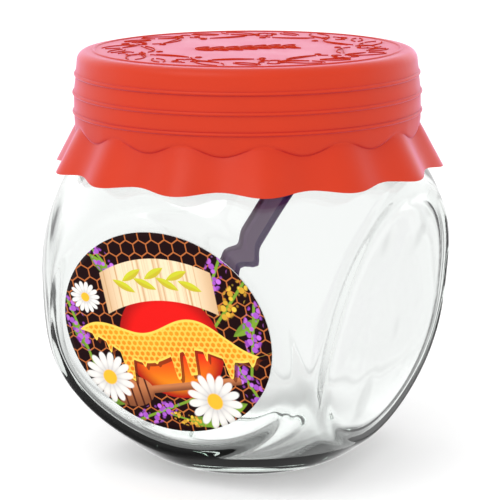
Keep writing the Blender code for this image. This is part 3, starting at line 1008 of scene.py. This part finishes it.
# %% Make the flower-head and leaf groups
SPINDLE_HALF_WIDTH = 0.34
SPINDLE_TAPER = -0.3
BLADE_HALF_WIDTH = 0.3
flower_head, given, result = new_group(
    "flower_head", {**FLAT, "Buds": 5.0}, {"Bud Mask": "Float", "Stem Mask": "Float", "Tone": "Float"})
tree = flower_head
x, y = split(tree, given["Vector"])[:2]
aside = calc(tree, "ABSOLUTE", x)
y_squared = calc(tree, "MULTIPLY", y, y)
buds = add_node(tree, "TexVoronoi")
feed(tree, buds.inputs["Vector"], given["Vector"])
feed(tree, buds.inputs["Scale"], given["Buds"])
bud = fade(tree, buds.outputs["Distance"], 0.42, 0.56, 1.0, 0.0)
spindle = calc(tree, "MULTIPLY_ADD", y_squared, SPINDLE_TAPER, SPINDLE_HALF_WIDTH)
within = fade(tree, calc(tree, "SUBTRACT", aside, spindle), -0.05, 0.04, 1.0, 0.0)
not_past_tips = fade(tree, calc(tree, "ABSOLUTE", y), 0.92, 1.0, 1.0, 0.0)
feed(tree, result["Bud Mask"], calc(tree, "MULTIPLY", bud, calc(tree, "MULTIPLY", within, not_past_tips)))
thin = fade(tree, aside, 0.03, 0.06, 1.0, 0.0)
below_top = fade(tree, y, 0.9, 0.8, 0.0, 1.0)
above_foot = fade(tree, y, -1.7, -1.6)
feed(tree, result["Stem Mask"], calc(tree, "MULTIPLY", thin, calc(tree, "MULTIPLY", below_top, above_foot)))
feed(tree, result["Tone"], split(tree, buds.outputs["Color"])[0])

leaf, given, result = new_group("leaf_blade", FLAT, {"Mask": "Float", "Shade": "Float"})
tree = leaf
x, y = split(tree, given["Vector"])[:2]
blade = calc(tree, "MULTIPLY_ADD", calc(tree, "MULTIPLY", y, y), -BLADE_HALF_WIDTH, BLADE_HALF_WIDTH)
past_edge = calc(tree, "SUBTRACT", calc(tree, "ABSOLUTE", x), blade)
feed(tree, result["Mask"], fade(tree, past_edge, -0.03, 0.02, 1.0, 0.0))
feed(tree, result["Shade"], fade(tree, x, -0.08, 0.08, 0.65, 1.1))
print("flower_head has", len(flower_head.nodes), "nodes and leaf_blade", len(leaf.nodes))

# %% [markdown]
# The swag and the stick are drawn in millimetres. The swag is a band that hangs
# in a slow wave. Its upper edge is smooth, and slow noise along it lengthens the
# lower edge into drips. The stick is a thin rod with a round head, whose grooves
# are a sine wave along it.

# %% Make the comb-swag group
SWAG_WAVE = 2.4
SWAG_WAVE_TURN = 0.2
SWAG_SLOPE = -0.05
SWAG_UPPER = 4.6
SWAG_LOWER = 4.0
DRIP_SCALE = 0.26
DRIP_LENGTH = 7.0
comb_swag, given, result = new_group(
    "comb_swag", FLAT, {"Mask": "Float", "Rim Mask": "Float", "Shade": "Float"})
tree = comb_swag
x, y = split(tree, given["Vector"])[:2]
hang = calc(tree, "MULTIPLY", calc(tree, "SINE", calc(tree, "MULTIPLY", x, SWAG_WAVE_TURN)), SWAG_WAVE)
hang = calc(tree, "ADD", hang, calc(tree, "MULTIPLY", x, SWAG_SLOPE))
off_middle = calc(tree, "SUBTRACT", y, hang)
drips = add_node(tree, "TexNoise", noise_dimensions="1D")
feed(tree, drips.inputs["W"], x)
drips.inputs["Scale"].default_value = DRIP_SCALE
drips.inputs["Detail"].default_value = 0.0
drop_length = fade(tree, drips.outputs["Fac"], 0.5, 0.68, 0.0, DRIP_LENGTH)
narrowing = calc(tree, "POWER", fade(tree, calc(tree, "ABSOLUTE", x), 10.0, 26.5, 1.0, 0.0), 0.5)
upper = calc(tree, "SUBTRACT", off_middle, calc(tree, "MULTIPLY", narrowing, SWAG_UPPER))
lower_reach = calc(tree, "MULTIPLY", narrowing, calc(tree, "ADD", drop_length, SWAG_LOWER))
lower = calc(tree, "SUBTRACT", calc(tree, "MULTIPLY", off_middle, -1.0), lower_reach)
outside = calc(tree, "MAXIMUM", upper, lower)
feed(tree, result["Mask"], fade(tree, outside, -0.1, 0.1, 1.0, 0.0))
feed(tree, result["Rim Mask"], fade(tree, outside, -0.9, -0.5))
feed(tree, result["Shade"], fade(tree, off_middle, -7.0, 4.5))
print("comb_swag has", len(comb_swag.nodes), "nodes")

# %% Make the stirring-stick group
HEAD_PLACE = 12.0
HEAD_HALF_LENGTH = 6.5
HEAD_HALF_WIDTH = 4.4
ROD_HALF_WIDTH = 1.1
ROD_FOOT = -22.0
GROOVE_TURN = 1.25
stick, given, result = new_group(
    "stirring_stick", FLAT, {"Mask": "Float", "Groove Mask": "Float", "Shade": "Float"})
tree = stick
x, y = split(tree, given["Vector"])[:2]
at_head = calc(tree, "DIVIDE", calc(tree, "SUBTRACT", y, HEAD_PLACE), HEAD_HALF_LENGTH)
left_over = calc(tree, "SUBTRACT", 1.0, calc(tree, "MULTIPLY", at_head, at_head))
head = calc(tree, "MULTIPLY", calc(tree, "SQRT", calc(tree, "MAXIMUM", left_over, 0.0)), HEAD_HALF_WIDTH)
rod = calc(tree, "MULTIPLY", fade(tree, y, HEAD_PLACE - 1.0, HEAD_PLACE, 1.0, 0.0), ROD_HALF_WIDTH)
rod = calc(tree, "MULTIPLY", rod, fade(tree, y, ROD_FOOT, ROD_FOOT + 0.4))
half = calc(tree, "MAXIMUM", head, rod)
past_edge = calc(tree, "SUBTRACT", calc(tree, "ABSOLUTE", x), half)
feed(tree, result["Mask"], fade(tree, past_edge, -0.15, 0.1, 1.0, 0.0))
turns = calc(tree, "ABSOLUTE", calc(tree, "SINE", calc(tree, "MULTIPLY", y, GROOVE_TURN)))
grooves = fade(tree, turns, 0.2, 0.5, 1.0, 0.0)
feed(tree, result["Groove Mask"], calc(tree, "MULTIPLY", grooves, fade(tree, head, 1.0, 1.4)))
share_aside = calc(tree, "DIVIDE", x, calc(tree, "MAXIMUM", half, 0.1))
feed(tree, result["Shade"], fade(tree, share_aside, -1.0, 0.9, 0.35, 1.15))
print("stirring_stick has", len(stick.nodes), "nodes")

# %% [markdown]
# ## The printed film: the layout
#
# The layers are printed one over the other like cut paper, from the honeycomb
# ground up. The upper middle is a cream paper ribbon, left empty, over a red
# disc that runs to orange and yellow at its foot.

# %% Choose the inks and the places
GROUND = (0.012, 0.001, 0.002)
COMB_LINE = (0.50, 0.14, 0.035)
CREAM = (0.93, 0.74, 0.50)
CREAM_FOLD = (0.62, 0.36, 0.17)
RED = (0.80, 0.006, 0.004)
DEEP_RED = (0.42, 0.004, 0.003)
AMBER = (0.84, 0.20, 0.006)
GOLD = (0.93, 0.34, 0.012)
PALE_GOLD = (1.0, 0.66, 0.10)
BROWN_EDGE = (0.14, 0.02, 0.004)
WOOD = (0.55, 0.19, 0.07)
WOOD_DARK = (0.07, 0.012, 0.006)
WHITE = (0.86, 0.84, 0.80)
PETAL_SHADE = (0.36, 0.34, 0.36)
HEART = (0.95, 0.50, 0.03)
VIOLET_LIGHT = (0.62, 0.18, 0.80)
VIOLET_DARK = (0.28, 0.05, 0.45)
YELLOW_LIGHT = (0.95, 0.62, 0.06)
YELLOW_DARK = (0.50, 0.22, 0.02)
GREEN_LIGHT = (0.20, 0.36, 0.03)
GREEN_DARK = (0.03, 0.09, 0.015)
YELLOW_GREEN = (0.62, 0.62, 0.03)
FLOWER_HEADS = (
    # x, y, turn in degrees, size, light and dark colour
    (-14.0, 19.5, 34.0, 7.5, VIOLET_LIGHT, VIOLET_DARK),
    (-27.0, 2.5, 12.0, 8.4, VIOLET_LIGHT, VIOLET_DARK),
    (18.6, 17.0, -30.0, 8.6, VIOLET_LIGHT, VIOLET_DARK),
    (26.3, 1.5, -14.0, 8.4, VIOLET_LIGHT, VIOLET_DARK),
    (22.0, -14.0, -155.0, 8.4, VIOLET_LIGHT, VIOLET_DARK),
    (-8.0, -23.0, 110.0, 8.0, VIOLET_LIGHT, VIOLET_DARK),
    (22.0, 9.5, -42.0, 8.5, YELLOW_LIGHT, YELLOW_DARK),
    (1.0, -24.5, 75.0, 5.5, YELLOW_LIGHT, YELLOW_DARK),
)
LEAVES = (
    # x, y, turn in degrees, size
    (14.0, -21.5, -70.0, 6.5),
    (-15.0, 18.5, 40.0, 5.0),
    (24.5, 2.0, -60.0, 5.0),
    (-17.5, -19.0, 110.0, 6.0),
    (6.0, -25.0, -95.0, 5.0),
    (-27.0, -1.0, 20.0, 4.5),
)
BLOSSOMS = (
    # x, y, turn in degrees, size
    (-20.5, -13.0, 10.0, 7.6),
    (10.5, -19.0, 0.0, 8.2),
    (-22.5, 10.0, 30.0, 4.6),
)
DISC = (1.0, -3.0, 0.0, 15.5)
RIBBON = (0.5, 15.0)
STICK = (-2.0, -15.5, 97.0)
SWAG = (0.0, -2.6)
SWAG_SHADOW = (0.8, -3.5)
SPRIG_LEAVES = (
    # x, y, turn in degrees: a leafy twig across the cream ribbon
    (-9.5, 13.2, 60.0),
    (-6.6, 16.2, 118.0),
    (-3.0, 13.8, 64.0),
    (0.3, 16.7, 116.0),
    (3.8, 13.8, 60.0),
    (7.0, 16.1, 110.0),
    (10.4, 13.2, 66.0),
)
print("the print has", len(FLOWER_HEADS), "flower heads,", len(LEAVES), "leaves and",
      len(BLOSSOMS), "blossoms")

# %% Print the ground, the leaves and the flower heads
printed_film, tree, shader = new_material("printed_film")
print_place = add_node(tree, "UVMap", uv_map="print").outputs[0]


def placed(x, y, turn=0.0, size=1.0):
    """The label's coordinates as seen from a motif: moved, turned and scaled."""
    node = add_node(tree, "Mapping", vector_type="TEXTURE")
    feed(tree, node.inputs["Vector"], print_place)
    node.inputs["Location"].default_value = (x, y, 0.0)
    node.inputs["Rotation"].default_value = (0.0, 0.0, radians(turn))
    node.inputs["Scale"].default_value = (size, size, 1.0)
    return node.outputs[0]


cells = use_group(tree, honeycomb, vector=print_place, cell=3.9, line=0.32)
ink = mix_colour(tree, cells["Line Mask"], GROUND, COMB_LINE)
for x, y, turn, size in LEAVES:
    blade = use_group(tree, leaf, vector=placed(x, y, turn, size))
    ink = mix_colour(tree, blade["Mask"], ink, mix_colour(tree, blade["Shade"], GREEN_DARK, GREEN_LIGHT))
for x, y, turn, size, light, dark in FLOWER_HEADS:
    head = use_group(tree, flower_head, vector=placed(x, y, turn, size), buds=4.6)
    ink = mix_colour(tree, head["Stem Mask"], ink, GREEN_LIGHT)
    ink = mix_colour(tree, head["Bud Mask"], ink, mix_colour(tree, head["Tone"], dark, light))

# %% Print the disc and the ribbon
RIBBON_HALF_LENGTH = 16.6
RIBBON_HALF_WIDTH = 5.7
RIBBON_BEND = 0.014
PLEAT_SCALE = 0.8
SPRIG_SIZE = 3.6
disc = placed(*DISC)
disc_radius = vector_calc(tree, "LENGTH", disc)
disc_rise = split(tree, disc)[1]
sunset = mix_colour(tree, fade(tree, disc_rise, -0.75, -0.05, 1.0, 0.0), RED, AMBER)
sunset = mix_colour(tree, fade(tree, disc_rise, -1.0, -0.5, 1.0, 0.0), sunset, GOLD)
sunset = mix_colour(tree, fade(tree, disc_radius, 0.7, 1.0), sunset, DEEP_RED)
ink = mix_colour(tree, fade(tree, disc_radius, 0.98, 1.0, 1.0, 0.0), ink, sunset)

x, y = split(tree, placed(*RIBBON))[:2]
aside = calc(tree, "ABSOLUTE", x)
bent = calc(tree, "MULTIPLY_ADD", calc(tree, "MULTIPLY", x, x), RIBBON_BEND, y)
ends = fade(tree, aside, RIBBON_HALF_LENGTH, RIBBON_HALF_LENGTH + 0.3, 1.0, 0.0)
sides = fade(tree, calc(tree, "ABSOLUTE", bent), RIBBON_HALF_WIDTH, RIBBON_HALF_WIDTH + 0.2, 1.0, 0.0)
pleats = add_node(tree, "TexNoise", noise_dimensions="1D")
feed(tree, pleats.inputs["W"], x)
pleats.inputs["Scale"].default_value = PLEAT_SCALE
fold_share = fade(tree, pleats.outputs["Fac"], 0.42, 0.75)
side_shade = fade(tree, aside, 9.0, 18.0, 0.0, 0.8)
paper = mix_colour(tree, calc(tree, "MAXIMUM", fold_share, side_shade), CREAM, CREAM_FOLD)
ink = mix_colour(tree, calc(tree, "MULTIPLY", sides, ends), ink, paper)
for x, y, turn in SPRIG_LEAVES:
    blade = use_group(tree, leaf, vector=placed(x, y, turn, SPRIG_SIZE))
    ink = mix_colour(tree, blade["Mask"], ink, mix_colour(tree, blade["Shade"], YELLOW_DARK, YELLOW_GREEN))

# %% Print the stick, the swag and the blossoms
wood = use_group(tree, stick, vector=placed(*STICK))
carved = mix_colour(tree, wood["Shade"], WOOD_DARK, WOOD)
carved = mix_colour(tree, wood["Groove Mask"], carved, WOOD_DARK)
ink = mix_colour(tree, wood["Mask"], ink, carved)

swag_shadow = use_group(tree, comb_swag, vector=placed(*SWAG_SHADOW))["Mask"]
ink = mix_colour(tree, calc(tree, "MULTIPLY", swag_shadow, 0.75), ink, BROWN_EDGE)
swag = use_group(tree, comb_swag, vector=placed(*SWAG))
honey = mix_colour(tree, swag["Shade"], AMBER, GOLD)
small_cells = use_group(tree, honeycomb, vector=print_place, cell=1.7, line=0.5)
honey = mix_colour(tree, calc(tree, "MULTIPLY", small_cells["Line Mask"], 0.75), honey, PALE_GOLD)
honey = mix_colour(tree, swag["Rim Mask"], honey, PALE_GOLD)
ink = mix_colour(tree, swag["Mask"], ink, honey)

for x, y, turn, size in BLOSSOMS:
    bloom = use_group(tree, blossom, vector=placed(x, y, turn, size), petals=15.0)
    petals = mix_colour(tree, bloom["Shade"], PETAL_SHADE, WHITE)
    ink = mix_colour(tree, bloom["Petal Mask"], ink, petals)
    ink = mix_colour(tree, bloom["Heart Mask"], ink, HEART)
feed(tree, shader.inputs["Base Color"], ink)
print("the print has", len(tree.nodes), "nodes")

# %% [markdown]
# The front of the film is varnished. Its back, which is seen through the jar,
# is plain pale paper, and the label's thickness gives its back and its edge
# that second material.

# %% Varnish the film and colour its back
BACK_PAPER = (0.82, 0.81, 0.79)
film_place = add_node(tree, "TexCoord").outputs["Object"]
film_surface = use_group(tree, moulded, vector=film_place, scale=60.0,
                         low_gloss=0.3, high_gloss=0.38, tone_spread=0.0)
feed(tree, shader.inputs["Roughness"], film_surface["Roughness"])
shader.inputs["Specular IOR Level"].default_value = 0.1
label.data.materials.append(printed_film)

film_back, tree, shader = new_material("film_back")
back_place = add_node(tree, "TexCoord").outputs["Object"]
back_surface = use_group(tree, moulded, vector=back_place, scale=400.0,
                         low_gloss=0.5, high_gloss=0.65, tone_spread=0.03)
feed(tree, shader.inputs["Base Color"], scaled(tree, BACK_PAPER, back_surface["Tone"]))
feed(tree, shader.inputs["Roughness"], back_surface["Roughness"])
label.data.materials.append(film_back)
print("the label has", len(label.data.materials), "materials")

# %% [markdown]
# ## Light and floor
#
# Glass shows its shape only by what it bends and mirrors. In an all-white room
# it nearly vanishes, so glass photographers stand black cards just outside the
# picture: they show as dark lines along the edges. Here the world plays the
# room. It is white all round and falls to grey below the horizon, and a few
# soft-edged cards are placed on it by their direction, counted from straight
# behind the jar. The camera itself sees plain white.

# %% Make the soft-card group
soft_card, given, result = new_group(
    "soft_card",
    {"Direction": (0.0, 0.0, 1.0), "Facing": (0.0, 1.0, 0.0), "Half Width": 0.2, "Half Height": 0.2,
     "Softness": 0.4},
    {"Mask": "Float"},
)
tree = soft_card
toward, facing = given["Direction"], given["Facing"]
level = vector_calc(tree, "NORMALIZE", vector_calc(tree, "CROSS_PRODUCT", (0.0, 0.0, 1.0), facing))
upright = vector_calc(tree, "CROSS_PRODUCT", facing, level)
across = calc(tree, "DIVIDE", vector_calc(tree, "DOT_PRODUCT", toward, level), given["Half Width"])
rise = calc(tree, "DIVIDE", vector_calc(tree, "DOT_PRODUCT", toward, upright), given["Half Height"])
across_squared = calc(tree, "MULTIPLY", across, across)
spread = calc(tree, "SQRT", calc(tree, "MULTIPLY_ADD", rise, rise, across_squared))
edge_from = calc(tree, "SUBTRACT", 1.0, given["Softness"])
edge_to = calc(tree, "ADD", 1.0, given["Softness"])
inside = fade(tree, spread, edge_from, edge_to, 1.0, 0.0)
in_front = fade(tree, vector_calc(tree, "DOT_PRODUCT", toward, facing), 0.0, 0.1)
feed(tree, result["Mask"], calc(tree, "MULTIPLY", inside, in_front))
print("soft_card has", len(soft_card.nodes), "nodes")

# %% Give directions round the jar
def from_behind(azimuth, elevation):
    """Direction from the jar, by degrees to the right of straight behind it and above the horizon."""
    flat = cos(radians(elevation))
    return tuple(polar_point(CAMERA_AZIMUTH + pi - radians(azimuth), flat, sin(radians(elevation))))


print("straight behind the jar is", [round(value, 2) for value in from_behind(0.0, 0.0)])

# %% [markdown]
# The floor takes the jar's soft shadow. It is hidden from rays that went through
# glass or off it, or else the whole foot of the jar would fill with its white,
# and it gives off a little light of its own, so that it stays as white as the
# background.

# %% Lay the floor
FLOOR_HALF_SIZE = 4.0
FLOOR_DROP = 0.2 * MM
FLOOR_WHITE = (0.9, 0.9, 0.9, 1.0)
FLOOR_GLOW = 0.24
floor_mesh = bmesh.new()
bmesh.ops.create_grid(floor_mesh, x_segments=1, y_segments=1, size=FLOOR_HALF_SIZE)
floor_data = bpy.data.meshes.new("studio_floor")
floor_mesh.to_mesh(floor_data)
floor_mesh.free()
floor = bpy.data.objects.new("studio_floor", floor_data)
floor.location.z = solid_box[0][2] - FLOOR_DROP
floor.visible_transmission = False
floor.visible_glossy = False
bpy.context.scene.collection.objects.link(floor)
pale, tree, shader = new_material("pale_floor")
shader.inputs["Base Color"].default_value = FLOOR_WHITE
shader.inputs["Roughness"].default_value = 0.9
shader.inputs["Emission Color"].default_value = (1.0, 1.0, 1.0, 1.0)
shader.inputs["Emission Strength"].default_value = FLOOR_GLOW
floor_data.materials.append(pale)
print("the floor lies at", round(floor.location.z / MM, 2), "mm")

# %% Surround the jar with cards
LOW_GREY = 0.2
GREY_BELOW = sin(radians(-48.0))
WHITE_ABOVE = sin(radians(-21.0))
CARDS = {
    # name: azimuth, elevation, half width, half height, softness, change of brightness
    "left_black": (-48.0, -24.0, 0.14, 0.34, 0.5, -0.95),
    "right_black": (36.0, -22.0, 0.07, 0.20, 0.5, -0.9),
    "front_low": (-130.0, -38.0, 0.22, 0.09, 0.5, -0.3),
    "back_window": (0.0, 20.0, 0.80, 0.30, 0.5, 1.0),
    "key_window": (-150.0, 42.0, 0.35, 0.3, 0.3, 0.6),
}
world = bpy.data.worlds.new("studio")
bpy.context.scene.world = world
world.use_nodes = True
tree = world.node_tree
direction = add_node(tree, "TexCoord").outputs["Generated"]
height = split(tree, direction)[2]
tone = fade(tree, height, GREY_BELOW, WHITE_ABOVE, LOW_GREY, 1.0)
for azimuth, elevation, half_width, half_height, softness, change in CARDS.values():
    mask = use_group(tree, soft_card, direction=direction, facing=from_behind(azimuth, elevation),
                     half_width=half_width, half_height=half_height, softness=softness)["Mask"]
    tone = calc(tree, "MULTIPLY", tone, calc(tree, "MULTIPLY_ADD", mask, change, 1.0))
ray = add_node(tree, "LightPath").outputs
plain = calc(tree, "MAXIMUM", ray["Is Camera Ray"], ray["Is Diffuse Ray"])
grey = add_node(tree, "CombineColor")
for socket in grey.inputs[:3]:
    feed(tree, socket, tone)
seen = mix_colour(tree, plain, grey.outputs[0], (1.0, 1.0, 1.0))
feed(tree, tree.nodes["Background"].inputs["Color"], seen)
tree.nodes["Background"].inputs["Strength"].default_value = 1.0
print("the world carries", len(CARDS), "cards")

# %% Hang the lamp
LAMP_DIRECTION = (-140.0, 52.0)
LAMP_DISTANCE = 0.9
LAMP_SIZE = 0.5
LAMP_WATTS = 1.7
key_data = bpy.data.lights.new("key_light", "AREA")
key_data.shape = "DISK"
key_data.size = LAMP_SIZE
key_data.energy = LAMP_WATTS
key = bpy.data.objects.new("key_light", key_data)
key.location = Vector(from_behind(*LAMP_DIRECTION)) * LAMP_DISTANCE
key.rotation_euler = (-key.location).to_track_quat("-Z", "Y").to_euler()
bpy.context.scene.collection.objects.link(key)
bpy.context.scene.view_settings.view_transform = "Standard"
print("the lamp hangs at", [round(value, 2) for value in key.location])
